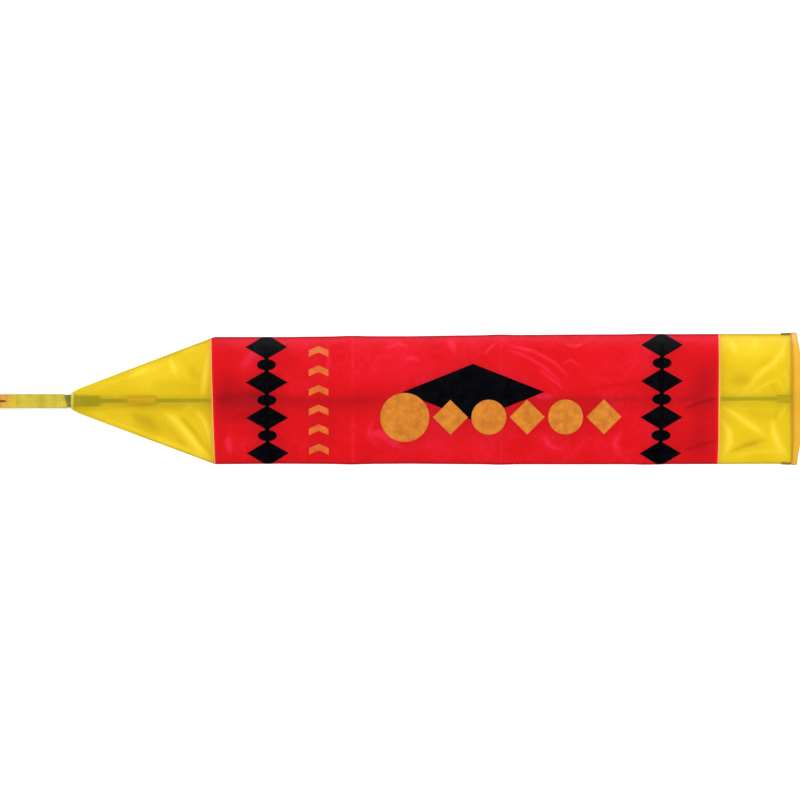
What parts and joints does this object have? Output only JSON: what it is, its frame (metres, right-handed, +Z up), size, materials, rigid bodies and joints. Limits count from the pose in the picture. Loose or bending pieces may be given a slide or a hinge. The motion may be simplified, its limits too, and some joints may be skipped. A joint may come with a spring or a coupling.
{
  "type": "windsock with pole",
  "caption": "Printed nylon windsock lying flat, closed cone tip with webbing tape and swivel snap, open hemmed mouth, slender two-piece pole stored along its axis.",
  "frame": {"origin": "middle of the whole part's bounding box in X and Y, on the surface it lies on", "axes": "+X along the sock from the tip to the mouth, +Z up, away from the surface it lies on"},
  "size_m": [1.53, 0.242, 0.025],
  "materials": {
    "yellow_nylon": "translucent ripstop nylon, soft sheen",
    "red_nylon": "translucent ripstop nylon, soft sheen",
    "rim_binding": "rolled nylon binding",
    "hem_nylon": "folded nylon, three layers",
    "boning_plastic": "flexible strip",
    "seam_yellow": "felled seam, stitched",
    "seam_red": "felled seam, stitched",
    "green_webbing": "woven tape",
    "orange_webbing": "woven tape",
    "tab_webbing": "woven tape with bar tacks",
    "black_print": "printed nylon, matt",
    "orange_print": "printed nylon, matt",
    "yellow_webbing": "woven tape",
    "swivel_steel": "bright drawn wire",
    "swivel_brass": "turned",
    "pole_fibreglass": "pultruded fibreglass tube",
    "cap_rubber": "moulded"
  },
  "bodies": {
    "sock": {"tip_cone": "yellow_nylon", "tip_rim": "rim_binding", "barrel": "red_nylon", "base_band": "yellow_nylon", "mouth_hem": "hem_nylon", "mouth_boning": "boning_plastic", "cone_seam": "seam_yellow", "band_seam": "seam_red", "cone_back_seam": "seam_yellow", "barrel_back_seam": "seam_red", "band_back_seam": "seam_yellow", "tip_pocket": "green_webbing", "pole_loop": "orange_webbing", "mouth_tab": "tab_webbing", "edge_tabs": "tab_webbing", "diamonds_tip": "black_print", "diamonds_base": "black_print", "side_mark": "orange_print", "emblem_row": "orange_print", "emblem_shade": "black_print"},
    "tail": {"tail_tape": "yellow_webbing", "tail_loop": "orange_webbing"},
    "swivel": {"swivel_eye": "swivel_steel", "swivel_barrel": "swivel_brass"},
    "hook": {"snap_hook": "swivel_steel"},
    "gate": {"snap_gate": "swivel_steel"},
    "pole": {"pole_upper": "pole_fibreglass", "pole_cap": "cap_rubber", "pole_pin": "swivel_steel"},
    "pole_lower": {"pole_lower": "pole_fibreglass", "pole_collar": "cap_rubber"}
  },
  "joints": [
    {"name": "tail_fold", "type": "hinge", "parent": "sock", "child": "tail", "pos_m": [-0.587, 0, 0.0052], "axis": [0, 1, 0], "range_deg": [0, 135]},
    {"name": "swivel_tilt", "type": "hinge", "parent": "tail", "child": "swivel", "pos_m": [-0.729, 0, 0.0045], "axis": [0, 1, 0], "range_deg": [0, 80]},
    {"name": "hook_spin", "type": "hinge", "parent": "swivel", "child": "hook", "pos_m": [-0.741, 0, 0.0045], "axis": [1, 0, 0], "continuous": true},
    {"name": "gate_open", "type": "hinge", "parent": "hook", "child": "gate", "pos_m": [-0.7545, -0.0037, 0.0045], "axis": [0, 0, -1], "range_deg": [0, 25], "stiffness_Nm_per_rad": 0.002},
    {"name": "pole_out", "type": "slide", "parent": "sock", "child": "pole", "axis": [1, 0, 0], "range_m": [0, 1.33]},
    {"name": "pole_part", "type": "slide", "parent": "pole", "child": "pole_lower", "axis": [1, 0, 0], "range_m": [0, 0.06]}
  ]
}
